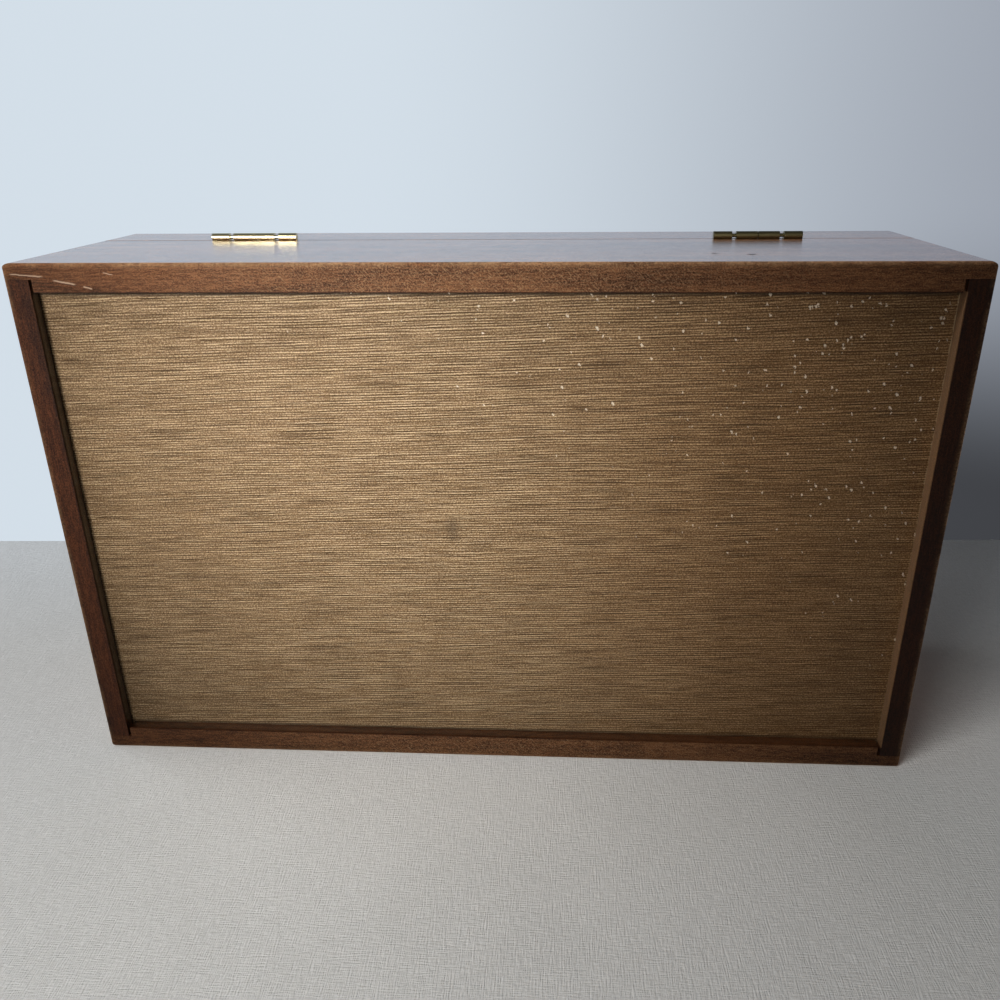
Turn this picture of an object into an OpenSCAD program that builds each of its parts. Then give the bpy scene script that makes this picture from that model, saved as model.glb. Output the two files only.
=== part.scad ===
// Silverware chest: a shallow hinged box of stained boards with a flush lid,
// a recessed bottom panel, cloth linings, slotted racks and two brass butt hinges.
// +Z is up, +Y points at the hinged back, and the origin is the middle of the underside.

/* [Chest] */
// Width over the ends of the front and back boards
chest_w = 420; // [390:5:500]
// Depth from the front face to the back face
chest_d = 256; // [240:2:300]
// Height of the box below the lid
box_h = 87; // [78:1:110]
// Height of the lid, top panel included
lid_h = 38; // [34:1:48]
// Seam between the closed lid and the box
seam = 0.4; // [0.3:0.1:0.8]

/* [Boards] */
// Thickness of the front and back boards
face_board_t = 12.5; // [11.5:0.5:16]
// Thickness of the side boards
side_board_t = 11; // [9:0.5:14]
// Wood left outside the rabbet at each end of a front or back board
lap_t = 7; // [5:0.5:8]
// Open gap at the shoulder of each corner rabbet
shoulder_gap = 1.4; // [0.4:0.2:2.4]
// Radius of the upright corners
corner_r = 3.5; // [2:0.5:5]
// Radius of the lower outer edges
ease_r = 1.5; // [1:0.5:3]
// Radius of the outer edges along the lid seam
seam_ease_r = 0.6; // [0.3:0.1:1]

/* [Panels] */
// Thickness of the bottom panel
panel_t = 6; // [4:0.5:8]
// Depth of the recess between the lower rim and the bottom panel
panel_recess = 6; // [4:0.5:9]
// Depth of the grooves that hold the bottom panel
groove_depth = 5; // [3:0.5:6]
// Thickness of the lid's top panel
top_t = 9; // [7:0.5:11]
// Radius of the lid's top edge
top_edge_r = 3; // [1:0.5:5]

/* [Linings] */
// Thickness of the cloth-covered wall linings
lining_t = 2; // [1.5:0.5:3]
// Thickness of the padded floor lining
floor_pad_t = 3; // [2:0.5:5]
// Distance from a rim back to the edge of its wall linings
lining_drop = 3; // [1:0.5:6]

/* [Fork and spoon rack] */
// Number of notches in each rack bar
rack_notches = 6; // [4:1:6]
// Width of a notch, which takes a nested stack of pieces
notch_w = 26; // [18:1:28]
// Depth of a notch
notch_depth = 28; // [20:1:30]
// Height of the rack bars
rack_h = 42; // [38:1:48]
// Thickness of the rack bars
rack_t = 16; // [10:1:22]
// Distance between the middles of the two rack bars
rack_spacing = 118; // [96:2:140]
// Radius on the teeth of the rack bars
tooth_r = 4; // [1:0.5:6]

/* [Serving well] */
// Width of the open well for serving pieces
serving_well_w = 96; // [70:2:120]
// Thickness of the divider beside the well
divider_t = 8; // [6:0.5:12]
// Height of the divider
divider_h = 52; // [40:1:56]

/* [Knife rack] */
// Number of slots across the lid
knife_slots = 12; // [6:1:14]
// Width of a knife slot
knife_slot_w = 7; // [5:0.5:9]
// Thickness of the knife bars
knife_bar_t = 14; // [8:1:20]
// Distance between the middles of the two knife bars
knife_bar_spacing = 124; // [100:2:150]
// Distance from the lid's rim back to the knife bars
knife_bar_setback = 5; // [3:0.5:8]
// Solid part of a knife bar beyond its slots
knife_bar_web = 5; // [3:0.5:8]
// Radius on the teeth of the knife bars
knife_tooth_r = 2; // [0.5:0.5:3]

/* [Hinges] */
// Length of a hinge
hinge_l = 44; // [38:1:58]
// Distance from the chest's left side to the near end of the left hinge
left_hinge_inset = 58; // [40:1:70]
// Distance from the chest's right side to the near end of the right hinge
right_hinge_inset = 61; // [40:1:70]
// Radius of the hinge barrel
barrel_r = 2; // [1.8:0.1:2.6]
// Distance from the back face out to the barrel's axis
barrel_out = 1.6; // [1:0.1:2.4]
// Radius of the hinge pin
pin_r = 0.9; // [0.7:0.1:1.1]
// Thickness of a leaf
leaf_t = 1; // [0.8:0.1:1.4]
// Distance that a leaf reaches in from the back face
leaf_reach = 9.5; // [8:0.5:10]
// Open gap between the knuckles that stand apart
knuckle_slack = 2.2; // [0.4:0.2:2.4]
// Gap between the knuckles that run close together
knuckle_gap = 0.4; // [0.2:0.1:0.5]
// Length of the knuckle at each end of a hinge
end_knuckle_l = 9.1; // [7:0.1:11]

/* [Screws] */
// Number of screws in a leaf
leaf_screws = 3; // [2:1:3]
// Radius of a screw's head
screw_head_r = 2; // [1.6:0.1:2.2]
// Radius of a screw's shank
screw_shank_r = 0.9; // [0.7:0.1:1.1]
// Length of a screw, head included
screw_l = 10; // [7:0.5:12]
// Width of the slot across a screw's head
screw_slot_w = 0.5; // [0.3:0.1:0.7]

/* [Hidden] */

// Clearances
glue_line = 0.1;
panel_fit = 0.15;
lining_fit = 0.2;
pin_fit = 0.05;
leaf_fit = 0.15;
barrel_clearance = 0.3;
cut_over = 1;

// Colours
stain = [0.40, 0.24, 0.15];
panel_tan = [0.58, 0.42, 0.26];
cloth = [0.36, 0.20, 0.17];
brass = [0.80, 0.66, 0.36];

// Heights
lid_z = box_h + seam;
lid_frame_top = lid_z + lid_h - top_t;
chest_h = lid_z + lid_h;
pad_z = panel_recess + panel_fit + panel_t + glue_line;
floor_z = pad_z + floor_pad_t + lining_fit;
ceiling_z = lid_frame_top - lining_t - lining_fit;

// Plan of the inside
inner_w = chest_w - 2 * side_board_t;
inner_d = chest_d - 2 * face_board_t;
face_groove = min(groove_depth, face_board_t - lap_t);
rabbet_w = side_board_t + shoulder_gap;
clear_w = inner_w - 2 * (lining_fit + lining_t);
clear_d = inner_d - 2 * (lining_fit + lining_t);

// Fork and spoon rack: it fills the space from the left lining to the divider
rack_left = -clear_w / 2 + lining_fit;
divider_x = clear_w / 2 - serving_well_w - divider_t;
rack_right = divider_x - lining_fit;
notch_pitch = (rack_right - rack_left) / rack_notches;
notch_round_r = notch_w / 2;

// Knife rack: it fills the width of the lid
knife_bar_w = clear_w - 2 * lining_fit;
knife_bar_h = ceiling_z - lining_fit - lid_z - knife_bar_setback;

// Hinges
axis_y = chest_d / 2 + barrel_out;
axis_z = box_h + seam / 2;
left_hinge_x = left_hinge_inset + hinge_l / 2 - chest_w / 2;
right_hinge_x = chest_w / 2 - right_hinge_inset - hinge_l / 2;
hinge_places = [left_hinge_x, right_hinge_x];
mid_knuckle_l = (hinge_l - knuckle_gap) / 2 - end_knuckle_l - knuckle_slack;
plate_end_y = axis_y - barrel_r - barrel_clearance;
plate_start_y = chest_d / 2 - leaf_reach;
screw_y = chest_d / 2 - leaf_reach / 2;
screw_pitch = hinge_l / leaf_screws;
head_h = screw_head_r - screw_shank_r;

// Rectangle across Y or X with rounded lower and upper corners
module edge_profile(width, low, high, low_r, high_r) {
    translate([-width / 2, low + low_r]) square([width, high - low - low_r - high_r]);
    translate([-width / 2 + low_r, low]) square([width - 2 * low_r, high - low - high_r]);
    translate([-width / 2 + high_r, low + low_r]) square([width - 2 * high_r, high - low - low_r]);
    for (side = [-1, 1]) {
        translate([side * (width / 2 - low_r), low + low_r]) circle(r = low_r, $fn = 32);
        translate([side * (width / 2 - high_r), high - high_r]) circle(r = high_r, $fn = 32);
    }
}

// Plan of the chest with rounded upright corners
module chest_plan() {
    square([chest_w - 2 * corner_r, chest_d], center = true);
    square([chest_w, chest_d - 2 * corner_r], center = true);
    for (side_x = [-1, 1], side_y = [-1, 1])
        translate([side_x * (chest_w / 2 - corner_r), side_y * (chest_d / 2 - corner_r)])
            circle(r = corner_r, $fn = 48);
}

// Block of the whole outline between two heights, with its outer edges eased
module eased_block(low, high, low_r, high_r) {
    intersection() {
        translate([0, 0, low]) linear_extrude(high - low) chest_plan();
        rotate([90, 0, 0])
            linear_extrude(chest_d + 2 * cut_over, center = true)
                edge_profile(chest_w, low, high, low_r, high_r);
        rotate([90, 0, 90])
            linear_extrude(chest_w + 2 * cut_over, center = true)
                edge_profile(chest_d, low, high, low_r, high_r);
    }
}

module box_outline() {
    eased_block(0, box_h, ease_r, seam_ease_r);
}

module lid_outline() {
    eased_block(lid_z, chest_h, seam_ease_r, top_edge_r);
}

// Front (side = -1) or back (side = 1) board between two heights, rabbeted at both ends
module face_board(side, low, high) {
    rabbet_start_y = side > 0 ? chest_d / 2 - face_board_t - cut_over : lap_t - chest_d / 2;
    difference() {
        translate([-chest_w / 2, side > 0 ? chest_d / 2 - face_board_t : -chest_d / 2, low])
            cube([chest_w, face_board_t, high - low]);
        for (start_x = [-chest_w / 2 - cut_over, chest_w / 2 - rabbet_w])
            translate([start_x, rabbet_start_y, low - cut_over])
                cube([rabbet_w + cut_over, face_board_t - lap_t + cut_over, high - low + 2 * cut_over]);
    }
}

// Left (side = -1) or right (side = 1) board between two heights, seated in the rabbets
module side_board(side, low, high) {
    board_l = chest_d - 2 * (lap_t + glue_line);
    translate([side > 0 ? chest_w / 2 - side_board_t : -chest_w / 2, -board_l / 2, low])
        cube([side_board_t, board_l, high - low]);
}

// Space that the bottom panel needs in the boards around it
module panel_groove() {
    translate([0, 0, panel_recess + panel_fit + panel_t / 2])
        cube([inner_w + 2 * groove_depth, inner_d + 2 * face_groove, panel_t + 2 * panel_fit], center = true);
}

// Mortises of both hinges on one side of the seam (dir = -1 in the box, 1 in the lid)
module hinge_mortises(dir) {
    mortise_l = hinge_l + 2 * leaf_fit;
    for (hinge_x = hinge_places)
        translate([hinge_x, 0, axis_z])
            mirror([0, 0, dir > 0 ? 0 : 1]) {
                translate([-mortise_l / 2, plate_start_y - leaf_fit, 0])
                    cube([mortise_l, axis_y - plate_start_y + leaf_fit, seam / 2 + leaf_t + glue_line]);
                translate([-mortise_l / 2, axis_y, 0])
                    rotate([0, 90, 0])
                        cylinder(r = barrel_r + barrel_clearance, h = mortise_l, $fn = 48);
                for (place = screw_places())
                    translate([place, screw_y, 0])
                        cylinder(r = screw_shank_r + pin_fit, h = seam / 2 + screw_l + leaf_fit, $fn = 24);
            }
}

function screw_places() = [for (i = [0 : leaf_screws - 1]) (i - (leaf_screws - 1) / 2) * screw_pitch];

module box_face_board(side) {
    difference() {
        intersection() {
            box_outline();
            face_board(side, 0, box_h);
        }
        panel_groove();
        if (side > 0)
            hinge_mortises(-1);
    }
}

module box_side_board(side) {
    difference() {
        intersection() {
            box_outline();
            side_board(side, 0, box_h);
        }
        panel_groove();
    }
}

module box_back_board() {
    color(stain) box_face_board(1);
}

module box_front_board() {
    color(stain) box_face_board(-1);
}

module box_left_board() {
    color(stain) box_side_board(-1);
}

module box_right_board() {
    color(stain) box_side_board(1);
}

module bottom_panel() {
    panel_w = inner_w + 2 * (groove_depth - panel_fit);
    panel_d = inner_d + 2 * (face_groove - panel_fit);
    color(panel_tan)
        translate([-panel_w / 2, -panel_d / 2, panel_recess + panel_fit])
            cube([panel_w, panel_d, panel_t]);
}

module floor_lining() {
    pad_w = inner_w - 2 * lining_fit;
    pad_d = inner_d - 2 * lining_fit;
    color(cloth)
        translate([-pad_w / 2, -pad_d / 2, pad_z])
            cube([pad_w, pad_d, floor_pad_t]);
}

// Cloth-covered strip along X, its far edge rounded where the cloth turns over it
module lining_strip(length, height) {
    rotate([90, 0, 90])
        linear_extrude(length, center = true) {
            translate([-lining_t / 2, 0]) square([lining_t, height - lining_t / 2]);
            translate([0, height - lining_t / 2]) circle(r = lining_t / 2, $fn = 24);
        }
}

module long_lining(side, height) {
    translate([0, side * (inner_d / 2 - lining_fit - lining_t / 2), 0])
        lining_strip(inner_w - 2 * lining_fit, height);
}

module short_lining(side, height) {
    translate([side * (inner_w / 2 - lining_fit - lining_t / 2), 0, 0])
        rotate([0, 0, 90])
            lining_strip(clear_d - 2 * lining_fit, height);
}

module in_box() {
    translate([0, 0, floor_z]) children();
}

// The lid's linings start at its ceiling and run down to the seam
module in_lid() {
    translate([0, 0, ceiling_z - lining_fit]) mirror([0, 0, 1]) children();
}

box_lining_h = box_h - lining_drop - floor_z;
lid_lining_h = ceiling_z - lining_fit - lid_z - lining_drop;

module box_back_lining() {
    color(cloth) in_box() long_lining(1, box_lining_h);
}

module box_front_lining() {
    color(cloth) in_box() long_lining(-1, box_lining_h);
}

module box_left_lining() {
    color(cloth) in_box() short_lining(-1, box_lining_h);
}

module box_right_lining() {
    color(cloth) in_box() short_lining(1, box_lining_h);
}

module well_divider() {
    divider_l = clear_d - 2 * lining_fit;
    color(cloth)
        translate([divider_x + divider_t / 2, 0, floor_z])
            rotate([90, 0, 0])
                linear_extrude(divider_l, center = true) {
                    translate([-divider_t / 2, 0]) square([divider_t, divider_h - divider_t / 2]);
                    translate([0, divider_h - divider_t / 2]) circle(r = divider_t / 2, $fn = 48);
                }
}

// Upright tooth with a rounded top, its foot centred on the origin
module tooth(width, height, radius) {
    translate([-width / 2, 0]) square([width, height - radius]);
    translate([-width / 2 + radius, 0]) square([width - 2 * radius, height]);
    for (side = [-1, 1])
        translate([side * (width / 2 - radius), height - radius])
            circle(r = radius, $fn = 32);
}

// Comb along X: a web with a tooth on each side of every gap, half teeth at the ends
module comb(length, count, gap, web, height, radius) {
    pitch = length / count;
    tooth_w = pitch - gap;
    round_r = min(radius, tooth_w / 4);
    translate([-length / 2, 0]) square([length, web]);
    for (i = [1 : count - 1])
        translate([-length / 2 + i * pitch, 0])
            tooth(tooth_w, height, round_r);
    for (end = [-1, 1])
        translate([end * (length / 2 - tooth_w / 4), 0])
            tooth(tooth_w / 2, height, round_r);
}

// Rack bar for nested forks and spoons: the notches have round floors
module rack_bar(y) {
    rack_l = rack_right - rack_left;
    notch_floor = rack_h - notch_depth;
    color(cloth)
        translate([(rack_left + rack_right) / 2, y, floor_z])
            rotate([90, 0, 0])
                linear_extrude(rack_t, center = true)
                    difference() {
                        comb(rack_l, rack_notches, notch_w, notch_floor + notch_round_r, rack_h, tooth_r);
                        for (i = [0 : rack_notches - 1])
                            translate([-rack_l / 2 + (i + 0.5) * notch_pitch, notch_floor + notch_round_r])
                                circle(r = notch_round_r, $fn = 64);
                    }
}

module front_rack_bar() {
    rack_bar(-rack_spacing / 2);
}

module back_rack_bar() {
    rack_bar(rack_spacing / 2);
}

module lid_face_board(side) {
    difference() {
        intersection() {
            lid_outline();
            face_board(side, lid_z, lid_frame_top);
        }
        if (side > 0)
            hinge_mortises(1);
    }
}

module lid_side_board(side) {
    intersection() {
        lid_outline();
        side_board(side, lid_z, lid_frame_top);
    }
}

module lid_back_board() {
    color(stain) lid_face_board(1);
}

module lid_front_board() {
    color(stain) lid_face_board(-1);
}

module lid_left_board() {
    color(stain) lid_side_board(-1);
}

module lid_right_board() {
    color(stain) lid_side_board(1);
}

module lid_top_panel() {
    color(stain)
        intersection() {
            lid_outline();
            translate([-chest_w / 2, -chest_d / 2, lid_frame_top + glue_line])
                cube([chest_w, chest_d, top_t]);
        }
}

module lid_top_lining() {
    sheet_w = inner_w - 2 * lining_fit;
    sheet_d = inner_d - 2 * lining_fit;
    color(cloth)
        translate([-sheet_w / 2, -sheet_d / 2, ceiling_z])
            cube([sheet_w, sheet_d, lining_t]);
}

module lid_back_lining() {
    color(cloth) in_lid() long_lining(1, lid_lining_h);
}

module lid_front_lining() {
    color(cloth) in_lid() long_lining(-1, lid_lining_h);
}

module lid_left_lining() {
    color(cloth) in_lid() short_lining(-1, lid_lining_h);
}

module lid_right_lining() {
    color(cloth) in_lid() short_lining(1, lid_lining_h);
}

// Knife bar: it hangs from the lid's ceiling with its slots open towards the box
module knife_bar(y) {
    color(cloth)
        in_lid()
            translate([0, y, 0])
                rotate([90, 0, 0])
                    linear_extrude(knife_bar_t, center = true)
                        comb(knife_bar_w, knife_slots, knife_slot_w, knife_bar_web, knife_bar_h, knife_tooth_r);
}

module front_knife_bar() {
    knife_bar(-knife_bar_spacing / 2);
}

module back_knife_bar() {
    knife_bar(knife_bar_spacing / 2);
}

// Left end of each knuckle, measured from the hinge's left end
function knuckle_start(i) = [
    0,
    end_knuckle_l + knuckle_slack,
    (hinge_l + knuckle_gap) / 2,
    hinge_l - end_knuckle_l
][i];

function knuckle_length(i) = i == 0 || i == 3 ? end_knuckle_l : mid_knuckle_l;

// Leaf of a hinge, with every second knuckle (dir = -1 in the box, 1 in the lid)
module hinge_leaf(hinge_x, dir) {
    first = dir > 0 ? 0 : 1;
    color(brass)
        translate([hinge_x, 0, axis_z])
            mirror([0, 0, dir > 0 ? 0 : 1])
                difference() {
                    union() {
                        translate([-hinge_l / 2, plate_start_y, seam / 2])
                            cube([hinge_l, plate_end_y - plate_start_y, leaf_t]);
                        for (i = [first, first + 2])
                            translate([knuckle_start(i) - hinge_l / 2, 0, 0])
                                knuckle(knuckle_length(i));
                    }
                    translate([-hinge_l / 2 - cut_over, axis_y, 0])
                        rotate([0, 90, 0])
                            cylinder(r = pin_r + pin_fit, h = hinge_l + 2 * cut_over, $fn = 32);
                    for (place = screw_places())
                        translate([place, screw_y, seam / 2])
                            screw_hole();
                }
}

// One rolled knuckle with the tongue of leaf that runs into it
module knuckle(length) {
    translate([0, plate_end_y, seam / 2])
        cube([length, axis_y - plate_end_y, leaf_t]);
    translate([0, axis_y, 0])
        rotate([0, 90, 0])
            cylinder(r = barrel_r, h = length, $fn = 48);
}

// Countersunk hole through a leaf
module screw_hole() {
    translate([0, 0, -cut_over])
        cylinder(r = screw_shank_r + pin_fit, h = leaf_t + 2 * cut_over, $fn = 24);
    translate([0, 0, -leaf_fit])
        cylinder(r1 = screw_head_r + pin_fit + leaf_fit, r2 = screw_shank_r + pin_fit, h = head_h + leaf_fit, $fn = 24);
}

module left_hinge_box_leaf() {
    hinge_leaf(left_hinge_x, -1);
}

module right_hinge_box_leaf() {
    hinge_leaf(right_hinge_x, -1);
}

module left_hinge_lid_leaf() {
    hinge_leaf(left_hinge_x, 1);
}

module right_hinge_lid_leaf() {
    hinge_leaf(right_hinge_x, 1);
}

module hinge_pin(hinge_x) {
    color(brass)
        translate([hinge_x, axis_y, axis_z])
            rotate([0, 90, 0])
                cylinder(r = pin_r, h = hinge_l, center = true, $fn = 32);
}

module left_hinge_pin() {
    hinge_pin(left_hinge_x);
}

module right_hinge_pin() {
    hinge_pin(right_hinge_x);
}

// Countersunk wood screw with its head at the origin and its point towards +Z
module wood_screw() {
    point_l = 2 * screw_shank_r;
    difference() {
        union() {
            cylinder(r1 = screw_head_r, r2 = screw_shank_r, h = head_h, $fn = 24);
            cylinder(r = screw_shank_r, h = screw_l - point_l, $fn = 24);
            translate([0, 0, screw_l - point_l])
                cylinder(r1 = screw_shank_r, r2 = screw_shank_r / 4, h = point_l, $fn = 24);
        }
        cube([2 * screw_head_r + cut_over, screw_slot_w, screw_slot_w], center = true);
    }
}

// All screws of one side of the seam (dir = -1 in the box, 1 in the lid)
module hinge_screws(dir) {
    color(brass)
        for (hinge_x = hinge_places, place = screw_places())
            translate([hinge_x + place, screw_y, axis_z])
                mirror([0, 0, dir > 0 ? 0 : 1])
                    translate([0, 0, seam / 2])
                        wood_screw();
}

module box_hinge_screws() {
    hinge_screws(-1);
}

module lid_hinge_screws() {
    hinge_screws(1);
}

box_back_board();
box_front_board();
box_left_board();
box_right_board();
bottom_panel();
floor_lining();
box_back_lining();
box_front_lining();
box_left_lining();
box_right_lining();
well_divider();
front_rack_bar();
back_rack_bar();
lid_back_board();
lid_front_board();
lid_left_board();
lid_right_board();
lid_top_panel();
lid_top_lining();
lid_back_lining();
lid_front_lining();
lid_left_lining();
lid_right_lining();
front_knife_bar();
back_knife_bar();
left_hinge_box_leaf();
right_hinge_box_leaf();
left_hinge_lid_leaf();
right_hinge_lid_leaf();
left_hinge_pin();
right_hinge_pin();
box_hinge_screws();
lid_hinge_screws();
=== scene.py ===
"""Looks of a wooden silverware chest with stained boards, brass hinges and a cloth-lined inside."""

import logging
import math
from dataclasses import dataclass, field
from enum import Enum
from typing import Any, Union

import bmesh
import bpy
from mathutils import Matrix, Vector

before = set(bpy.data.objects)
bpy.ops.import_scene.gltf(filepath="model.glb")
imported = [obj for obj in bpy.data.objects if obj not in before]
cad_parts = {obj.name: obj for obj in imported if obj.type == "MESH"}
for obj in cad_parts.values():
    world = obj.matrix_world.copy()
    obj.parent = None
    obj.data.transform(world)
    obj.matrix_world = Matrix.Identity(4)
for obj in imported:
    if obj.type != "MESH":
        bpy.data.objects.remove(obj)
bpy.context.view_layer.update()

LOG = logging.getLogger("chest")

MM_PER_M = 1000.0

# In mm: the closed chest and its boards, and the heights between which the rim and the recess change colour.
CHEST_W = 420.0
CHEST_D = 256.0
CHEST_H = 125.4
SIDE_BOARD_T = 11.0
FACE_BOARD_T = 12.5
INNER_X = CHEST_W / 2 - SIDE_BOARD_T
INNER_Y = CHEST_D / 2 - FACE_BOARD_T
RIM_HEIGHTS = (2.2, 1.2)
RECESS_HEIGHTS = (8.0, 7.0)

Colour = tuple[float, float, float]
Number = Union[int, float, "Value"]


class Axis(Enum):
    """Row axis that a board's grain follows."""

    X = 0
    Y = 1


class Lights(Enum):
    """What a lamp lights. The value is the floor's state in the lamp's set for light linking."""

    EVERYTHING = ""
    FLOOR_ONLY = "INCLUDE"
    ALL_BUT_FLOOR = "EXCLUDE"


class Value:
    """A shader number with the arithmetic that the finishes use."""

    def __init__(self, tree: "Tree", socket: bpy.types.NodeSocket) -> None:
        """Keeps the socket and the tree that it belongs to."""
        self.tree = tree
        self.socket = socket

    def _maths(self, operation: str, *terms: Number) -> "Value":
        """Returns the result of one Math node on the given terms."""
        inputs = {index: term for index, term in enumerate(terms)}
        return self.tree.value("ShaderNodeMath", {"operation": operation}, inputs)

    def __add__(self, other: Number) -> "Value":
        """Sum."""
        return self._maths("ADD", self, other)

    __radd__ = __add__

    def __sub__(self, other: Number) -> "Value":
        """Difference."""
        return self._maths("SUBTRACT", self, other)

    def __rsub__(self, other: Number) -> "Value":
        """Difference with the terms the other way round."""
        return self._maths("SUBTRACT", other, self)

    def __mul__(self, other: Number) -> "Value":
        """Product."""
        return self._maths("MULTIPLY", self, other)

    __rmul__ = __mul__

    def __truediv__(self, other: Number) -> "Value":
        """Quotient."""
        return self._maths("DIVIDE", self, other)

    def __abs__(self) -> "Value":
        """Absolute value."""
        return self._maths("ABSOLUTE", self)

    def __pow__(self, power: float) -> "Value":
        """Power."""
        return self._maths("POWER", self, power)

    def least(self, other: Number) -> "Value":
        """The smaller of the two."""
        return self._maths("MINIMUM", self, other)

    def most(self, other: Number) -> "Value":
        """The larger of the two."""
        return self._maths("MAXIMUM", self, other)

    def sine(self) -> "Value":
        """Sine of a value in radians."""
        return self._maths("SINE", self)

    def step(self, low: float, high: float) -> "Value":
        """Smooth step.

        Args:
            low: The value that gives 0.
            high: The value that gives 1, above or below low.

        Returns:
            A value from 0 to 1.
        """
        settings = {"interpolation_type": "SMOOTHSTEP"}
        if high > low:
            return self.tree.value("ShaderNodeMapRange", settings, {0: self, 1: low, 2: high})
        return 1 - self.tree.value("ShaderNodeMapRange", settings, {0: self, 1: high, 2: low})


class Tree:
    """Node tree of a material or world, with the one method that makes its nodes."""

    def __init__(self, name: str, owner: bpy.types.ID | None = None) -> None:
        """Makes an empty material of that name, or empties the tree of another owner.

        Args:
            name: Name of the material.
            owner: A world, or nothing for a new material.
        """
        self.material = owner or bpy.data.materials.new(name)
        self.material.use_nodes = True
        self.nodes = self.material.node_tree.nodes
        self.links = self.material.node_tree.links
        self.nodes.clear()

    def node(
        self, kind: str, settings: dict[str, Any] | None = None, inputs: dict[Any, Any] | None = None
    ) -> bpy.types.Node:
        """Makes a node.

        Args:
            kind: The node's type.
            settings: Properties that are set first; "stops" is a ramp's list of (place, colour).
            inputs: Values or links, by the socket's name or index.

        Returns:
            The node.
        """
        made = self.nodes.new(kind)
        for key, setting in (settings or {}).items():
            if key == "stops":
                self._set_stops(made.color_ramp, setting)
            else:
                setattr(made, key, setting)
        for key, given in (inputs or {}).items():
            if isinstance(given, Value):
                given = given.socket
            if isinstance(given, bpy.types.NodeSocket):
                self.links.new(given, made.inputs[key])
            else:
                made.inputs[key].default_value = given
        return made

    @staticmethod
    def _set_stops(ramp: bpy.types.ColorRamp, stops: list[tuple[float, Colour]]) -> None:
        """Gives a ramp its stops."""
        while len(ramp.elements) < len(stops):
            ramp.elements.new(0.5)
        for element, (place, colour) in zip(ramp.elements, stops):
            element.position = place
            element.color = (*colour, 1.0)

    def value(self, kind: str, settings: dict[str, Any], inputs: dict[Any, Any]) -> Value:
        """Makes a node and returns its first output as a value."""
        return Value(self, self.node(kind, settings, inputs).outputs[0])

    def place(self) -> tuple[Value, Value, Value]:
        """Object coordinates in millimetres."""
        coordinates = self.node("ShaderNodeTexCoord").outputs["Object"]
        split = self.node("ShaderNodeSeparateXYZ", {}, {0: coordinates})
        x, y, z = (Value(self, output) * MM_PER_M for output in split.outputs)
        return x, y, z

    def vector(self, x: Number, y: Number, z: Number) -> bpy.types.NodeSocket:
        """A vector of three values or numbers."""
        return self.node("ShaderNodeCombineXYZ", {}, {0: x, 1: y, 2: z}).outputs[0]

    def noise(
        self,
        where: bpy.types.NodeSocket,
        scale: float,
        detail: float = 3.0,
        rough: float = 0.5,
        warp: float = 0.0,
    ) -> Value:
        """Noise from about 0 to 1.

        Args:
            where: The vector that it reads.
            scale: Cells for each unit of the vector.
            detail: Number of octaves.
            rough: Weight of each further octave.
            warp: Distortion of the pattern.

        Returns:
            The noise.
        """
        inputs = {"Vector": where, "Scale": scale, "Detail": detail, "Roughness": rough, "Distortion": warp}
        return self.value("ShaderNodeTexNoise", {}, inputs)

    def specks(self, where: bpy.types.NodeSocket, scale: float) -> tuple[Value, Value]:
        """Scattered cells: the distance to each cell's point, and a random value for each cell."""
        inputs = {"Vector": where, "Scale": scale, "Randomness": 1.0}
        cells = self.node("ShaderNodeTexVoronoi", {"feature": "F1"}, inputs)
        tint = self.node("ShaderNodeSeparateColor", {}, {0: cells.outputs["Color"]})
        return Value(self, cells.outputs["Distance"]), Value(self, tint.outputs[0])

    def ramp(self, factor: Number, stops: list[tuple[float, Colour]]) -> bpy.types.NodeSocket:
        """A colour from a ramp."""
        return self.node("ShaderNodeValToRGB", {"stops": stops}, {0: factor}).outputs[0]

    def mix(self, factor: Number, first: Any, second: Any, blend: str = "MIX") -> bpy.types.NodeSocket:
        """Mixes two colours.

        Args:
            factor: Share of the second.
            first: A colour or a link.
            second: A colour or a link.
            blend: Blend type of the Mix node.

        Returns:
            The mixed colour.
        """
        pair = [(*c, 1.0) if isinstance(c, tuple) else c for c in (first, second)]
        settings = {"data_type": "RGBA", "blend_type": blend, "clamp_factor": True}
        return self.node("ShaderNodeMix", settings, {0: factor, 6: pair[0], 7: pair[1]}).outputs[2]

    def tinted(self, colour: Any, tint: Colour) -> bpy.types.NodeSocket:
        """A colour or link multiplied by a tint."""
        return self.mix(1.0, colour, tint, "MULTIPLY")

    def bump(
        self, height: Value, depth_mm: float, normal: bpy.types.NodeSocket | None = None
    ) -> bpy.types.NodeSocket:
        """A normal from a height that runs from 0 to 1 over depth_mm."""
        inputs = {"Height": height, "Distance": depth_mm / MM_PER_M, "Strength": 1.0}
        if normal is not None:
            inputs["Normal"] = normal
        return self.node("ShaderNodeBump", {}, inputs).outputs[0]

    def rays(self, *kinds: str) -> list[Value]:
        """Masks of the rays of the given kinds, such as Shadow, from one Light Path node."""
        path = self.node("ShaderNodeLightPath")
        return [Value(self, path.outputs[f"Is {kind} Ray"]) for kind in kinds]

    def surface(self, inputs: dict[str, Any]) -> None:
        """A Principled surface, linked to the output."""
        shader = self.node("ShaderNodeBsdfPrincipled", {}, inputs)
        self.node("ShaderNodeOutputMaterial", {}, {"Surface": shader.outputs[0]})


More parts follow.
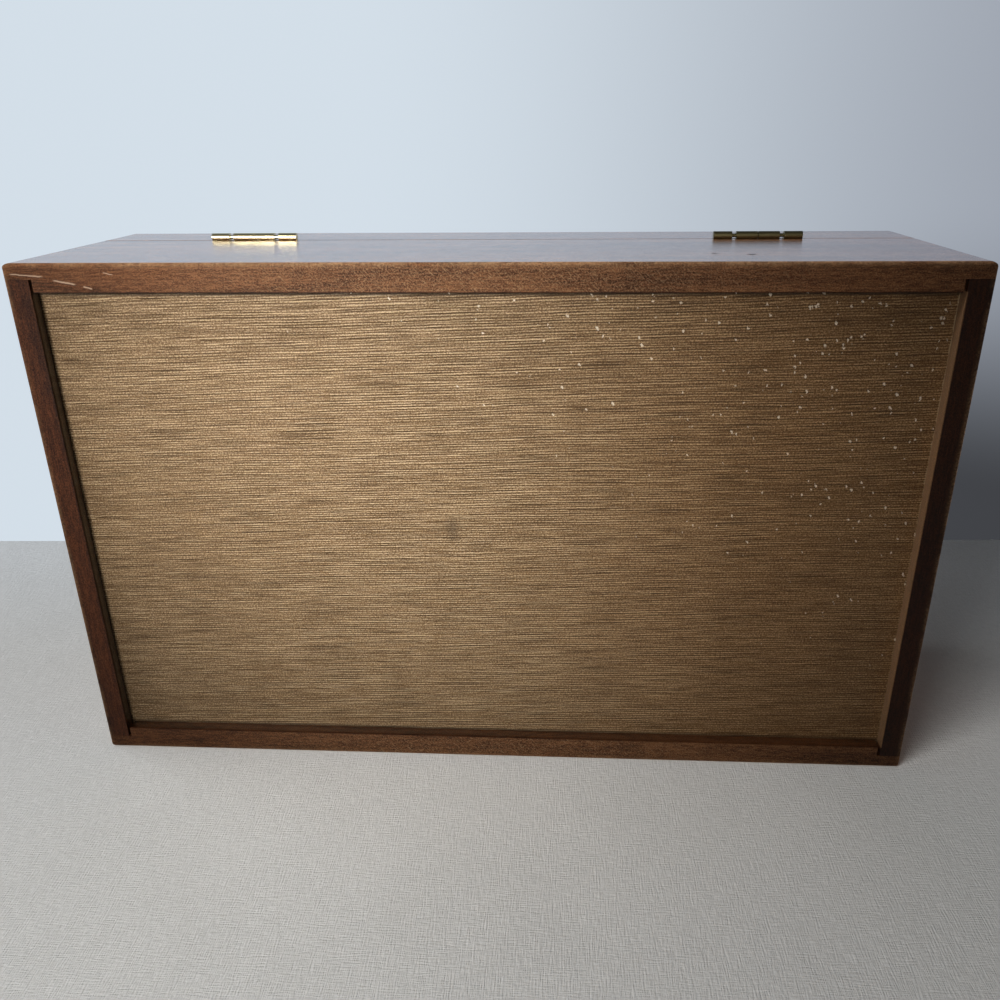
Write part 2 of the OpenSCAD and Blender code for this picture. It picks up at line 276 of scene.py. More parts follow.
@dataclass(frozen=True)
class Layer:
    """A layer of noise through a smooth step.

    The scales along and across the grain are in cells for each mm, and low and high are the step's ends.
    """

    along: float
    across: float
    low: float
    high: float
    seed: float = 0.0
    octaves: float = 2.0
    rough: float = 0.5
    warp: float = 0.0

    def on_face(self, tree: Tree, along: Value, across: Value) -> Value:
        """Draws the layer on a flat face.

        Args:
            tree: The node tree.
            along: Place along the grain in mm.
            across: Place across the grain in mm.

        Returns:
            A value from 0 to 1.
        """
        return self._draw(tree, tree.vector(along * self.along, across * self.across, self.seed))

    def through(self, tree: Tree, place: tuple[Value, Value, Value], grain: Axis, offset: float) -> Value:
        """Draws the layer through a whole board.

        Args:
            tree: The node tree.
            place: Object coordinates in mm.
            grain: The axis that the grain follows.
            offset: Shift of the pattern, which makes each board another one.

        Returns:
            A value from 0 to 1.
        """
        scales = [self.along if index == grain.value else self.across for index in range(len(place))]
        return self._draw(tree, tree.vector(*(p * scale + offset for p, scale in zip(place, scales))))

    def _draw(self, tree: Tree, where: bpy.types.NodeSocket) -> Value:
        """The noise at the given vector, through the smooth step."""
        return tree.noise(where, 1.0, self.octaves, self.rough, self.warp).step(self.low, self.high)


@dataclass(frozen=True)
class Dent:
    """A dark dent in the back face: the place of its middle and its radius, in mm."""

    x: float
    z: float
    radius: float


@dataclass(frozen=True)
class Scratch:
    """A pale scratch: the place of its middle in mm, its slope in degrees, half its length and its width."""

    x: float
    y: float
    slope: float
    half_length: float
    width: float = 0.45

    @property
    def cos(self) -> float:
        """Cosine of the slope."""
        return math.cos(math.radians(self.slope))

    @property
    def sin(self) -> float:
        """Sine of the slope."""
        return math.sin(math.radians(self.slope))


SCRATCHES = (
    Scratch(199.5, 122.9, 4.5, 8.0),
    Scratch(183.0, 119.9, 10.0, 5.4, 0.55),
    Scratch(173.0, 117.6, 14.0, 2.2),
    Scratch(163.0, 123.6, 12.0, 2.4, 0.3),
)
BACK_DENTS = (Dent(-99.4, 27.7, 1.5), Dent(-114.9, 24.1, 2.0))


@dataclass(frozen=True)
class StainedWood:
    """Walnut stain with open grain along one axis, rubbed edges, and lacquer on the outer faces."""

    name: str
    along: Axis
    tone: float = 1.0
    rim_shade: Colour = (1.0, 1.0, 1.0)
    dents: tuple[Dent, ...] = ()
    offset: float = 0.0
    deep: Colour = (0.020, 0.007, 0.003)
    body: Colour = (0.115, 0.044, 0.018)
    warm: Colour = (0.285, 0.130, 0.056)
    rubbed_and_lit: Colour = (0.44, 0.27, 0.145)
    scratch: Colour = (0.62, 0.46, 0.34)
    recess_shade: Colour = (0.34, 0.27, 0.22)
    end_tint: Colour = (0.78, 0.70, 0.64)
    figure: Layer = Layer(0.0063, 0.09, 0.30, 0.70, octaves=3.0, rough=0.55, warp=0.8)
    grain: Layer = Layer(0.156, 1.3, 0.36, 0.64, octaves=3.0, rough=0.6, warp=0.3)
    fleck: Layer = Layer(1.92, 3.2, 0.36, 0.64, rough=0.6)
    open_pores: Layer = Layer(0.72, 3.6, 0.56, 0.63, rough=0.55)
    worn_width: float = 3.2
    grain_depth: float = 0.09
    wave_depth: float = 0.25

    def material(self) -> bpy.types.Material:
        """Builds the material.

        Returns:
            The material, which reads Object coordinates.
        """
        tree = Tree(self.name)
        place = tree.place()
        x, y, z = place
        shade, pores = self._grain(tree, place)
        stops = [(0.15, self.deep), (0.48, self.body), (0.85, self.warm)]
        # A tone below 1 darkens the stain; the side boards use it as painted shade.
        stained = tree.tinted(tree.ramp(shade, stops), (self.tone,) * 3)
        stained = tree.mix(pores * 0.6, stained, self.deep)

        patch = tree.noise(tree.vector(x, y, z), 0.06, 4.0, 0.65)
        crumb = tree.noise(tree.vector(x, y, z), 0.8, 4.0, 0.65)
        near_edge = self._edge_distance(x, y, z).step(self.worn_width, 0.0) * patch.step(0.30, 0.62)
        worn = near_edge * (0.35 + crumb.step(0.40, 0.62) * 0.65)
        colour = self._underside(tree, place, stained)
        colour = tree.mix(worn * 0.55, colour, self.rubbed_and_lit)
        colour = tree.mix(self._scratches(tree, x, y, z) * 0.8, colour, self.scratch)
        polish = 1 - worn * 0.8
        for mark in self.dents:
            reach = ((x - mark.x) * (x - mark.x) + (z - mark.z) * (z - mark.z)) ** 0.5
            on_back = y.step(CHEST_D / 2 - 2.0, CHEST_D / 2 - 1.0)
            dent = (reach + crumb * mark.radius).step(mark.radius * 1.9, mark.radius) * on_back
            colour = tree.mix(dent * 0.9, colour, self.deep)
            polish = polish * (1 - dent)

        lacquer = z.step(0.3, 2.0)
        clouds = tree.noise(tree.vector(x * 0.05, y * 0.05, z * 0.05), 2.0, 4.0, 0.7)
        relief = tree.bump(shade * 0.5 + (1 - pores) * 0.5, self.grain_depth)
        tree.surface(
            {
                "Base Color": colour,
                "Roughness": 0.60 - lacquer * 0.25 + (clouds - 0.5) * 0.2 + worn * 0.15 + pores * 0.1,
                "Normal": tree.bump(patch, self.wave_depth, relief),
                "Coat Weight": lacquer * polish,
                "Coat Roughness": 0.22,
                "Coat IOR": 1.66,
                "IOR": 1.45,
                "Specular IOR Level": 0.22,
            }
        )
        return tree.material

    def _grain(self, tree: Tree, place: tuple[Value, Value, Value]) -> tuple[Value, Value]:
        """Grain of the wood.

        Args:
            tree: The node tree.
            place: Object coordinates in mm.

        Returns:
            The shade of the stain and the mask of open pores.
        """
        figure, grain, fleck, pores = (
            layer.through(tree, place, self.along, self.offset)
            for layer in (self.figure, self.grain, self.fleck, self.open_pores)
        )
        return figure * 0.30 + grain * 0.28 + fleck * 0.42, pores

    def _underside(
        self, tree: Tree, place: tuple[Value, Value, Value], stained: bpy.types.NodeSocket
    ) -> bpy.types.NodeSocket:
        """Colours the scuffed rim, with painted shade on the rims of the side boards, and the walls of the
        recess under the bottom panel, with painted shade on all but the -X wall and painted light on that
        one.

        Args:
            tree: The node tree.
            place: Object coordinates in mm.
            stained: Colour of the stain.

        Returns:
            The colour, which is the stain with a few scuffs on every other face.
        """
        x, y, z = place
        between_ends = abs(x).step(INNER_X + 0.6, INNER_X + 0.2)
        between_faces = abs(y).step(INNER_Y + 0.5, INNER_Y + 0.1)
        in_recess = between_ends * between_faces * z.step(*RECESS_HEIGHTS)
        on_rim = z.step(*RIM_HEIGHTS) * (1 - in_recess)
        scuffed = 0.06 + on_rim * (0.12 + abs(x).step(170.0, 20.0) * 0.46)
        colour = tree.mix(self._scuffs(tree, x, y, z) * scuffed, stained, self.rubbed_and_lit)
        # Painted shade: the rim faces of the side boards are darkened, the -X board's much more than the +X
        # board's.
        colour = tree.mix(on_rim, colour, tree.tinted(colour, self.rim_shade))
        # Painted shade: the walls of the recess are darkened, all but the -X wall.
        off_left_wall = x.step(0.2 - INNER_X, 2.0 - INNER_X)
        on_left_wall = x.step(1.0 - INNER_X, 0.2 - INNER_X)
        colour = tree.mix(in_recess * off_left_wall, colour, tree.tinted(colour, self.recess_shade))
        # Painted light: the -X wall of the recess, which faces the light, is lightened towards the rubbed
        # colour.
        colour = tree.mix(in_recess * on_left_wall * 0.35, colour, self.rubbed_and_lit)
        if self.along is Axis.X:
            colour = tree.mix(on_rim * x.step(90.0, 190.0), colour, tree.tinted(colour, self.end_tint))
        return colour

    @staticmethod
    def _edge_distance(x: Value, y: Value, z: Value) -> Value:
        """Distance in mm from the nearest outer edge of the closed chest.

        Args:
            x: Place across the width.
            y: Place across the depth.
            z: Height.

        Returns:
            The distance, small near an outer edge and large on open faces.
        """
        from_side = CHEST_W / 2 - abs(x)
        from_face = CHEST_D / 2 - abs(y)
        from_end = z.least(CHEST_H - z)
        upright = from_side.most(from_face)
        return upright.least(from_end.most(from_side.least(from_face)))

    @staticmethod
    def _scuffs(tree: Tree, x: Value, y: Value, z: Value) -> Value:
        """Mask of the small flecks and hairlines of a surface that has been slid about.

        Args:
            tree: The node tree.
            x: Place across the width.
            y: Place across the depth.
            z: Height.

        Returns:
            The mask.
        """
        fleck = tree.noise(tree.vector(x, y, z), 1.25, 3.0, 0.7).step(0.50, 0.64)
        rising_way = tree.vector((x + y + z) * 0.16, (x - y) * 1.1, z * 1.1)
        rising = tree.noise(rising_way, 1.0, 2.0).step(0.58, 0.68)
        falling_way = tree.vector((x - y) * 0.2, (x + y * 2.0) * 0.9, z * 0.9)
        falling = tree.noise(falling_way, 1.0, 2.0).step(0.60, 0.70)
        return (fleck * 0.75 + rising * 0.6 + falling * 0.6).least(1.0)

    @staticmethod
    def _scratches(tree: Tree, x: Value, y: Value, z: Value) -> Value:
        """Mask of the scratches on the rim's right back corner.

        Args:
            tree: The node tree.
            x: Place across the width.
            y: Place across the depth.
            z: Height.

        Returns:
            The mask.
        """
        ragged = (tree.noise(tree.vector(x, y, z), 0.35, 3.0, 0.6) - 0.5) * 2.2
        marks = None
        for mark in SCRATCHES:
            along_x = (x - mark.x) * mark.cos + (y - mark.y) * mark.sin
            across = abs((y - mark.y) * mark.cos - (x - mark.x) * mark.sin + ragged * 0.35)
            line = across.step(mark.width, 0.0) * abs(along_x).step(mark.half_length, mark.half_length * 0.7)
            marks = line if marks is None else marks.most(line)
        return marks * z.step(2.5, 1.5)


@dataclass(frozen=True)
class OpenPlywood:
    """Thin golden stain on open-pored plywood, with its grain along the width, and small chips."""

    name: str = "plywood"
    pore_and_shade: Colour = (0.040, 0.022, 0.010)
    dark: Colour = (0.085, 0.044, 0.016)
    tan: Colour = (0.245, 0.148, 0.068)
    pale: Colour = (0.69, 0.51, 0.305)
    chip: Colour = (0.88, 0.76, 0.60)
    age: Colour = (0.80, 0.68, 0.56)
    slope: float = 0.032
    line_turns: float = 5.3
    streaks: Layer = Layer(0.028, 1.25, 0.36, 0.64)
    fine: Layer = Layer(0.09, 1.9, 0.36, 0.64, seed=9.0, octaves=1.0)
    clear: Layer = Layer(0.03, 0.4, 0.30, 0.62, seed=21.0)
    sand: Layer = Layer(1.25, 1.5, 0.34, 0.66, rough=0.7)
    bands: Layer = Layer(0.006, 0.07, 0.30, 0.70, octaves=3.0, warp=0.3)
    open_pores: Layer = Layer(0.03, 1.45, 0.55, 0.63, seed=40.0, rough=0.6)
    smudge_x: float = 19.0
    smudge_y: float = 1.5
    relief: float = 0.45

    def material(self) -> bpy.types.Material:
        """Builds the material.

        Returns:
            The material, which reads Object coordinates.
        """
        tree = Tree(self.name)
        x, y, z = tree.place()
        sway = tree.noise(tree.vector(x * 0.006, y * 0.010, 0.0), 1.0, 2.0) * 4.0
        across = y + x * self.slope + sway
        lines = self._lines(tree, x, across)
        streaks = self.streaks.on_face(tree, x, across)
        fine = self.fine.on_face(tree, x, across)
        sand = self.sand.on_face(tree, x, across)
        bands = self.bands.on_face(tree, x, across)
        pores = self.open_pores.on_face(tree, x, across)
        shade = lines * 0.40 + streaks * 0.10 + fine * 0.12 + sand * 0.34 + bands * 0.04
        colour = tree.ramp(shade, [(0.20, self.dark), (0.51, self.tan), (0.83, self.pale)])
        colour = tree.mix(pores * (1.35 - lines).least(1.0) * 0.55, colour, self.pore_and_shade)
        # Painted shade: the panel is darkened towards -X.
        colour = tree.mix(x.step(30.0, -170.0), colour, tree.tinted(colour, self.age))
        # Painted shadow: dark bands along the panel's back and front edges, where the rim's walls meet it.
        back_rim_shadow = (INNER_Y - y).step(2.9, 1.2) * 0.8
        front_rim_shadow = (INNER_Y + y).step(2.0, 0.3) * 0.7
        colour = tree.mix(back_rim_shadow.most(front_rim_shadow), colour, self.pore_and_shade)

        chips = self._chips(tree, x, y)
        colour = tree.mix(chips, colour, self.chip)
        colour = tree.mix(self._smudge(tree, x, y), colour, self.pore_and_shade)
        light_edge = self._chipped_edge(tree, x, y) * (0.18 + y.step(-20.0, 90.0) * 0.4)
        colour = tree.mix(light_edge, colour, self.pale)

        height = shade * 0.55 + (1 - pores) * 0.45 - chips * 0.3
        tree.surface(
            {
                "Base Color": colour,
                "Roughness": 0.44 + pores * 0.2 - (shade - 0.5) * 0.15,
                "Normal": tree.bump(height, self.relief),
                "Specular IOR Level": 0.34,
            }
        )
        return tree.material

    def _lines(self, tree: Tree, x: Value, across: Value) -> Value:
        """Fine lines along the grain, clearest in the middle of the panel.

        Args:
            tree: The node tree.
            x: Place across the width.
            across: Place across the grain.

        Returns:
            A value from about 0 to 1.
        """
        wander = tree.noise(tree.vector(x * 0.02, across * 0.30, 3.0), 1.0, 3.0, 0.55) * 9.0
        wave = (across * self.line_turns + wander).sine() * 0.5 + 0.5
        strength = 0.40 + self.clear.on_face(tree, x, across) * 0.60
        middle = 0.75 + abs(x - 10.0).step(190.0, 30.0) * 0.45
        return 0.5 + (wave - 0.5) * strength * middle

    @staticmethod
    def _chips(tree: Tree, x: Value, y: Value) -> Value:
        """Mask of small pale chips, which crowd towards the back left corner.

        Args:
            tree: The node tree.
            x: Place across the width.
            y: Place across the depth.

        Returns:
            The mask.
        """
        crowd = (y * 0.0042 - x * 0.0030 + 0.25).most(0.07)
        bend = tree.noise(tree.vector(x, y, 5.0), 0.75, 3.0, 0.6) * 4.0
        mask = None
        for scale, turn in ((0.13, 0.0), (0.24, 31.0), (0.19, 67.0)):
            where = tree.vector(x * 1.15 + y * 0.35 + turn + bend, y - x * 0.3 + bend * 0.7 - turn, 0.0)
            distance, luck = tree.specks(where, scale)
            size = (crowd * 0.80 - luck).step(0.0, 0.6) * scale * 0.74
            spot = (size - distance).step(0.0, 0.03)
            mask = spot if mask is None else mask.most(spot)
        return mask

    def _smudge(self, tree: Tree, x: Value, y: Value) -> Value:
        """Mask of the one dark smudge near the middle of the panel."""
        from_x, from_y = x - self.smudge_x, y - self.smudge_y
        reach = (from_x * from_x / 1.8 + from_y * from_y / 6.0) ** 0.5
        ragged = tree.noise(tree.vector(x, y, 0.0), 0.5, 3.0)
        return (reach + ragged * 2.5).step(5.2, 1.4) * 0.5

    @staticmethod
    def _chipped_edge(tree: Tree, x: Value, y: Value) -> Value:
        """Mask of the pale chipped line along the panel's left edge."""
        from_side = INNER_X + x
        ragged = tree.noise(tree.vector(x, y, 0.0), 0.3, 3.0) * 1.6
        return (from_side + ragged).step(1.3, 0.8)


@dataclass(frozen=True)
class Brass:
    """Polished brass with a patchy tarnish, and duller and darker towards the left end of the back."""

    name: str
    bright: Colour = (0.90, 0.80, 0.52)
    dull: Colour = (0.22, 0.19, 0.10)

    def material(self) -> bpy.types.Material:
        """Builds the material.

        Returns:
            The material, which reads Object coordinates.
        """
        tree = Tree(self.name)
        x, y, z = tree.place()
        patches = tree.noise(tree.vector(x, y, z), 0.35, 4.0, 0.6)
        lines = tree.noise(tree.vector(x * 0.3, y * 3.0, z * 3.0), 0.8, 3.0, 0.6)
        side = x.step(60.0, -60.0)
        dulling = (patches * 0.5 + side * 0.55).step(0.30, 0.75)
        tree.surface(
            {
                "Base Color": tree.mix(dulling, self.bright, self.dull),
                "Metallic": 1.0,
                "Roughness": 0.18 + dulling * 0.20 + lines * 0.10,
                "Normal": tree.bump(patches * 0.6 + lines * 0.4, 0.03),
            }
        )
        return tree.material


@dataclass(frozen=True)
class Flannel:
    """Brushed flannel: a soft nap over a close weave."""

    name: str
    nap: Colour = (0.21, 0.060, 0.048)
    shade: Colour = (0.10, 0.026, 0.022)

    def material(self) -> bpy.types.Material:
        """Builds the material.

        Returns:
            The material, which reads Object coordinates.
        """
        tree = Tree(self.name)
        x, y, z = tree.place()
        where = tree.vector(x, y, z)
        fluff = tree.noise(where, 2.6, 4.0, 0.7)
        brushed = tree.noise(tree.vector(x * 0.3, y, z * 0.6), 0.16, 3.0, 0.55, 0.6)
        threads = ((x * 4.2).sine() * (y * 4.2).sine() + (z * 4.2).sine()) * 0.25 + 0.5
        tone = fluff * 0.5 + brushed * 0.7 - 0.1
        tree.surface(
            {
                "Base Color": tree.ramp(tone, [(0.25, self.shade), (0.75, self.nap)]),
                "Roughness": 0.92,
                "Normal": tree.bump(fluff * 0.7 + threads * 0.3, 0.35),
                "Sheen Weight": 0.45,
                "Sheen Roughness": 0.45,
                "Sheen Tint": (0.75, 0.38, 0.33, 1.0),
                "Specular IOR Level": 0.2,
            }
        )
        return tree.material


@dataclass(frozen=True)
class StageCloth:
    """Pale canvas of the floor. It shows its upper side only, and lets light through to the chest."""

    name: str = "canvas_floor"
    near: Colour = (0.70, 0.705, 0.70)
    far: Colour = (0.86, 0.90, 0.94)
    thread: Colour = (0.30, 0.30, 0.29)

    def material(self) -> bpy.types.Material:
        """Builds the material.

        Returns:
            The material of the floor.
        """
        tree = Tree(self.name)
        x, y, z = tree.place()
        warp = tree.noise(tree.vector(x * 0.15, 0.0, z * 1.5), 1.0, 2.0, 0.6).step(0.3, 0.7)
        weft = tree.noise(tree.vector(x * 1.5, 7.0, z * 0.15), 1.0, 2.0, 0.6).step(0.3, 0.7)
        cloud = tree.noise(tree.vector(x, y, z), 0.012, 3.0, 0.6).step(0.3, 0.7)
        weave = warp * 0.5 + weft * 0.5
        # Painted light: the floor is lighter and bluer towards the backdrop.
        colour = tree.mix(z.step(60.0, 268.0), self.near, self.far)
        grit = tree.noise(tree.vector(x, 0.0, z), 1.6, 2.0, 0.7).step(0.3, 0.7)
        colour = tree.mix(weave * 0.24 + grit * 0.24 + cloud * 0.06, colour, self.thread)
        look = {"Base Color": colour, "Roughness": 0.9, "Normal": tree.bump(weave, 0.35)}
        cloth = tree.node("ShaderNodeBsdfPrincipled", {}, look)
        hidden = tree.node("ShaderNodeBsdfTransparent")
        shadow, diffuse = tree.rays("Shadow", "Diffuse")
        below = Value(tree, tree.node("ShaderNodeNewGeometry").outputs["Backfacing"])
        unseen = below.most(shadow).most(diffuse)
        choice = tree.node("ShaderNodeMixShader", {}, {0: unseen, 1: cloth.outputs[0], 2: hidden.outputs[0]})
        tree.node("ShaderNodeOutputMaterial", {}, {"Surface": choice.outputs[0]})
        return tree.material


def dress(node: str, material: bpy.types.Material) -> None:
    """Gives a CAD node its finish.

    Args:
        node: Name of the node.
        material: The finish.
    """
    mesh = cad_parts[node].data
    mesh.materials.clear()
    mesh.materials.append(material)
    LOG.info("dressed %s with %s", node, material.name)


@dataclass
class Boards:
    """The stained boards of the box and lid, and the plywood bottom."""

    face_boards: tuple[str, ...] = ("box_back_board", "box_front_board", "lid_back_board", "lid_front_board")
    side_boards: tuple[str, ...] = ("box_left_board", "box_right_board", "lid_left_board", "lid_right_board")
    # Painted shade for the rim faces of the side boards: a darkening, far stronger at the -X end.
    plus_x_rim_shade: Colour = (0.46, 0.32, 0.27)
    minus_x_rim_shade: Colour = (0.19, 0.13, 0.11)

    def build(self) -> None:
        """Dresses every board."""
        for index, node in enumerate(self.face_boards):
            dents = BACK_DENTS if node == "box_back_board" else ()
            dress(node, StainedWood(node, Axis.X, dents=dents, offset=3.7 * index).material())
        for index, node in enumerate(self.side_boards):
            at_plus_x = sum(corner[0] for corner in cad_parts[node].bound_box) > 0
            # Painted shade: the -X board's rim is darkened far more than the +X board's.
            tint = self.plus_x_rim_shade if at_plus_x else self.minus_x_rim_shade
            # Tone 0.85 is painted shade: the side boards are darkened because their grain runs across the
            # light and reflects less of it.
            wood = StainedWood(node, Axis.Y, tone=0.85, rim_shade=tint, offset=11.3 + 5.1 * index)
            dress(node, wood.material())
        dress("lid_top_panel", StainedWood("lid_top_panel", Axis.X, offset=29.0).material())
        dress("bottom_panel", OpenPlywood().material())


@dataclass
class Hardware:
    """Leaves, pins and screws of the two hinges."""

    ends: tuple[str, ...] = ("left", "right")

    def build(self) -> None:
        """Dresses the hinges."""
        plate = Brass("hinge_brass").material()
        for end in self.ends:
            for part in ("hinge_box_leaf", "hinge_lid_leaf", "hinge_pin"):
                dress(f"{end}_{part}", plate)
        screw = Brass("screw_brass", bright=(0.80, 0.60, 0.27)).material()
        dress("box_hinge_screws", screw)
        dress("lid_hinge_screws", screw)


@dataclass
class Interior:
    """Cloth-covered linings, racks and divider."""

    sides: tuple[str, ...] = ("back", "front", "left", "right")
    racks: tuple[str, ...] = (
        "well_divider",
        "front_rack_bar",
        "back_rack_bar",
        "front_knife_bar",
        "back_knife_bar",
    )

    def build(self) -> None:
        """Dresses the inside."""
        lining = Flannel("lining_flannel").material()
        rack = Flannel("rack_flannel", nap=(0.24, 0.068, 0.054)).material()
        for part in ("box", "lid"):
            for side in self.sides:
                dress(f"{part}_{side}_lining", lining)
        dress("lid_top_lining", lining)
        dress("floor_lining", lining)
        for node in self.racks:
            dress(node, rack)


@dataclass(frozen=True)
class Lamp:
    """A square area lamp.

    Its places are in metres, its power in watts and its spread in degrees, and shines says whether glossy
    surfaces show it.
    """

    name: str
    place: tuple[float, float, float]
    aim: tuple[float, float, float]
    size: float
    power: float
    lights: Lights = Lights.ALL_BUT_FLOOR
    colour: Colour = (1.0, 0.98, 0.96)
    spread: float = 180.0
    shines: bool = False


LAMPS = (
    Lamp(
        "key",
        (0.25, 0.24, -0.55),
        (0.068, 0.058, 0.0),
        0.22,
        0.350,
        Lights.EVERYTHING,
        (1.0, 0.96, 0.90),
        41.0,
        shines=True,
    ),
    Lamp("floor_key", (0.56, 0.74, -0.62), (0.1, -0.128, 0.0), 0.5, 9.6, Lights.FLOOR_ONLY),
    Lamp("floor_left", (0.80, 0.60, 0.15), (0.5, -0.128, 0.1), 0.4, 2.4, Lights.FLOOR_ONLY, (0.9, 0.96, 1.0)),
    Lamp(
        "floor_right",
        (-0.50, 0.45, -0.06),
        (-0.48, -0.128, -0.05),
        0.15,
        0.12,
        Lights.FLOOR_ONLY,
        (0.84, 0.93, 1.0),
        45.0,
    ),
    Lamp("top", (0.75, 0.95, -0.02), (0.10, 0.0, 0.0), 0.7, 13.5, colour=(0.97, 0.98, 1.0)),
    Lamp("lid_fill", (-0.30, 0.95, 0.95), (0.0, 0.0, 0.1), 0.8, 7.0),
    Lamp("inside_fill", (-0.15, -0.75, 1.05), (0.0, 0.05, 0.05), 0.7, 12.0),
    Lamp("front_fill", (0.45, -1.10, 0.35), (0.0, 0.0, 0.06), 0.8, 13.0),
    Lamp("side_fill", (-1.10, -0.30, 0.35), (0.0, 0.0, 0.06), 0.7, 9.0),
)


@dataclass
class Studio:
    """Floor, backdrop, lamps and camera.

    The chest stands on its front board, so the floor is the plane of the front face.
    The camera stands below the chest and looks up along its height.
    """

    floor_y: float = -0.128
    floor_far: float = 0.267
    floor_turn: float = 2.04
    floor_near: float = -1.1
    floor_half_w: float = 1.6
    eye: Vector = field(default_factory=lambda: Vector((-0.0325, 0.1766, -0.3711)))
    pitch: float = 22.7456
    yaw: float = 3.1915
    roll: float = -0.5547
    focal_share: float = 0.86571
    shift: tuple[float, float] = (-0.0157, -0.0009)
    ambient: float = 0.045
    wall_left: Colour = (0.655, 0.735, 0.81)
    wall_right: Colour = (0.30, 0.325, 0.38)
    wall_shadow: Colour = (0.035, 0.036, 0.040)
    wall_mirrored: Colour = (0.99, 1.03, 1.09)
    window: Colour = (0.95, 0.92, 0.80)
    dim_front: Colour = (0.05, 0.05, 0.045)
    ceiling: Colour = (0.05, 0.05, 0.05)

    def build(self) -> None:
        """Builds the stage in order."""
        self.camera()
        self.floor()
        self.world()
        self.lamps()

    def camera(self) -> None:
        """Makes the camera at the photograph's viewing angle."""
        data = bpy.data.cameras.new("camera")
        data.sensor_width = 36.0
        data.lens = self.focal_share * data.sensor_width
        data.shift_x, data.shift_y = self.shift
        data.clip_start, data.clip_end = 0.01, 20.0
        eye = bpy.data.objects.new("camera", data)
        turn = (
            Matrix.Rotation(math.radians(self.roll), 3, "Z")
            @ Matrix.Rotation(math.radians(self.pitch), 3, "X")
            @ Matrix.Rotation(math.radians(self.yaw), 3, "Y")
        )
        to_camera = Matrix.Diagonal((1, -1, -1)) @ turn @ Matrix.Diagonal((-1, -1, 1))
        eye.matrix_world = Matrix.Translation(self.eye) @ to_camera.transposed().to_4x4()
        bpy.context.scene.collection.objects.link(eye)
        bpy.context.scene.camera = eye

    def floor(self) -> None:
        """Makes the floor, which ends where the photograph's floor meets its backdrop."""
        shape = bmesh.new()
        bmesh.ops.create_grid(shape, x_segments=2, y_segments=2, size=1.0)
        width, length = self.floor_half_w, (self.floor_far - self.floor_near) / 2
        bmesh.ops.scale(shape, vec=(width, length, 1.0), verts=shape.verts)
        upward = Matrix.Rotation(-math.pi / 2, 3, "X")
        bmesh.ops.rotate(shape, cent=(0, 0, 0), matrix=upward, verts=shape.verts)
        middle = (self.floor_far + self.floor_near) / 2
        bmesh.ops.translate(shape, vec=(0, self.floor_y, middle), verts=shape.verts)
        far_edge = (0, self.floor_y, self.floor_far)
        turn = Matrix.Rotation(math.radians(self.floor_turn), 3, "Y")
        bmesh.ops.rotate(shape, cent=far_edge, matrix=turn, verts=shape.verts)
        mesh = bpy.data.meshes.new("floor")
        shape.to_mesh(mesh)
        shape.free()
        mesh.materials.append(StageCloth().material())
        floor = bpy.data.objects.new("floor", mesh)
        bpy.context.scene.collection.objects.link(floor)

    def world(self) -> None:
        """Makes the pale backdrop that the camera and glossy surfaces see, over a plain ambient light."""
        world = bpy.data.worlds.new("backdrop")
        tree = Tree("backdrop", world)
        direction = tree.node("ShaderNodeTexCoord").outputs["Generated"]
        split = tree.node("ShaderNodeSeparateXYZ", {}, {0: direction})
        x, y, z = (Value(tree, output) for output in split.outputs)
        # Painted shade: the backdrop darkens towards the right, and a painted shadow of the chest lies low on
        # the right.
        wall = tree.mix(x.step(0.25, -0.62), self.wall_left, self.wall_right)
        shadow = x.step(-0.24, -0.40) * y.step(-0.06, -0.34) * z.step(0.2, 0.6)
        wall = tree.mix(shadow * 0.94, wall, self.wall_shadow)
        front = tree.mix(x.step(-0.15, 0.25), self.dim_front, self.window)
        room = tree.mix(z.step(-0.1, -0.5), tree.tinted(wall, self.wall_mirrored), front)
        room = tree.mix(y.step(0.45, 0.75) * 0.9, room, self.ceiling)
        camera, glossy, passing = tree.rays("Camera", "Glossy", "Transmission")
        shiny = glossy.most(passing)
        seen = tree.mix(shiny, wall, room)
        backdrop = tree.node("ShaderNodeBackground", {}, {0: seen, 1: 1.0})
        ambient = tree.node("ShaderNodeBackground", {}, {0: (1.0, 0.97, 0.94, 1.0), 1: self.ambient})
        choice = {0: camera.most(shiny), 1: ambient.outputs[0], 2: backdrop.outputs[0]}
        mixed = tree.node("ShaderNodeMixShader", {}, choice)
        tree.node("ShaderNodeOutputWorld", {}, {0: mixed.outputs[0]})
        bpy.context.scene.world = world

    def lamps(self) -> None:
        """Places the near key, the lamps of the floor, a soft top light, and fills for the other sides."""
        links = {lights: self._floor_links(lights) for lights in (Lights.FLOOR_ONLY, Lights.ALL_BUT_FLOOR)}
        for lamp in LAMPS:
            made = self._lamp(lamp)
            if lamp.lights in links:
                made.light_linking.receiver_collection = links[lamp.lights]

    @staticmethod
    def _floor_links(lights: Lights) -> bpy.types.Collection:
        """Makes a set for light linking that includes or excludes the floor.

        Args:
            lights: FLOOR_ONLY or ALL_BUT_FLOOR.

        Returns:
            The set.
        """
        links = bpy.data.collections.new(f"floor_{lights.value.lower()}")
        links.objects.link(bpy.data.objects["floor"])
        links.collection_objects[0].light_linking.link_state = lights.value
        return links

    @staticmethod
    def _lamp(lamp: Lamp) -> bpy.types.Object:
        """Makes an area lamp.

        Args:
            lamp: Its place, aim and light.

        Returns:
            The lamp.
        """
        data = bpy.data.lights.new(lamp.name, "AREA")
        data.size, data.energy, data.color = lamp.size, lamp.power, lamp.colour
        data.spread = math.radians(lamp.spread)
        made = bpy.data.objects.new(lamp.name, data)
        made.location = lamp.place
        made.visible_glossy = lamp.shines
        aim = Vector(lamp.aim) - Vector(lamp.place)
        made.rotation_euler = aim.to_track_quat("-Z", "Y").to_euler()
        bpy.context.scene.collection.objects.link(made)
        return made


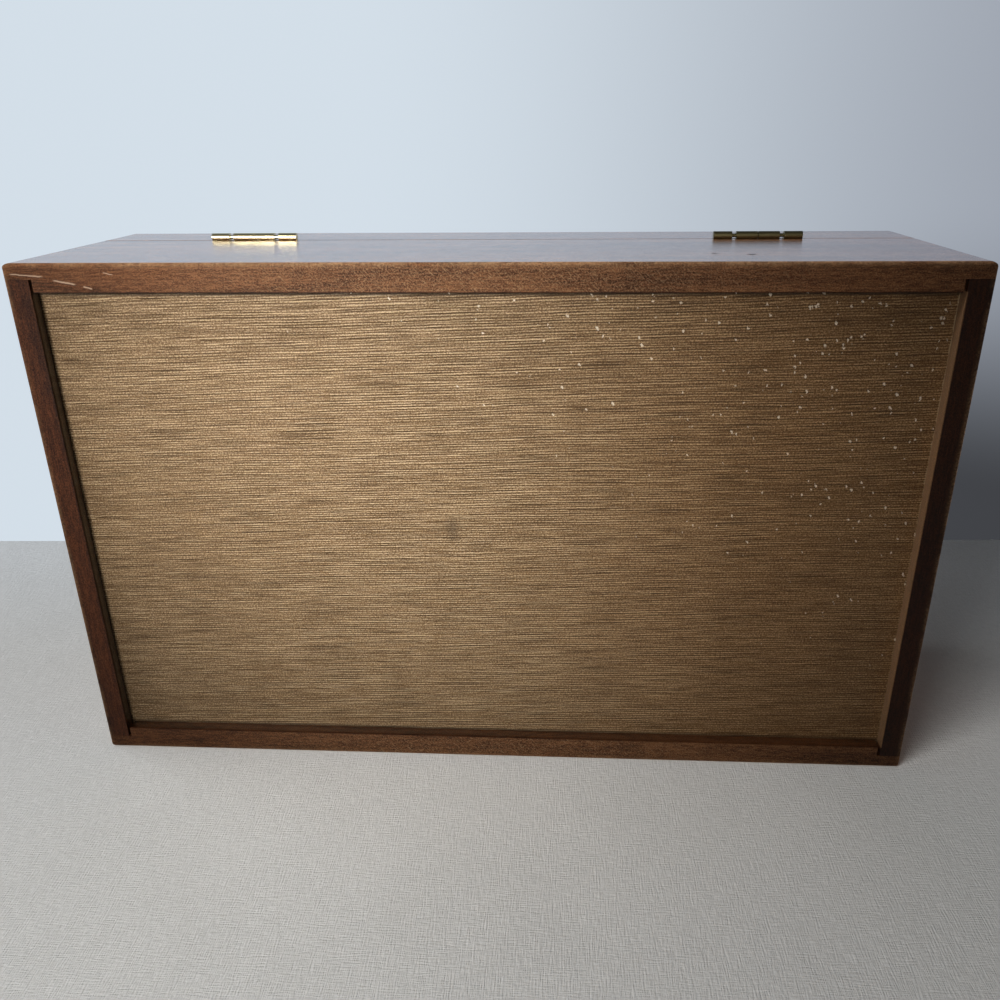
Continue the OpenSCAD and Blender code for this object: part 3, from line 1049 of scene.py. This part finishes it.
def main() -> None:
    """Builds the studio, then each sub-assembly of the chest."""
    logging.basicConfig(level=logging.INFO, format="%(message)s")
    bpy.context.scene.view_settings.view_transform = "Standard"
    for part in (Studio(), Boards(), Hardware(), Interior()):
        part.build()
        LOG.info("built %s", type(part).__name__)


if __name__ == "__main__":
    main()
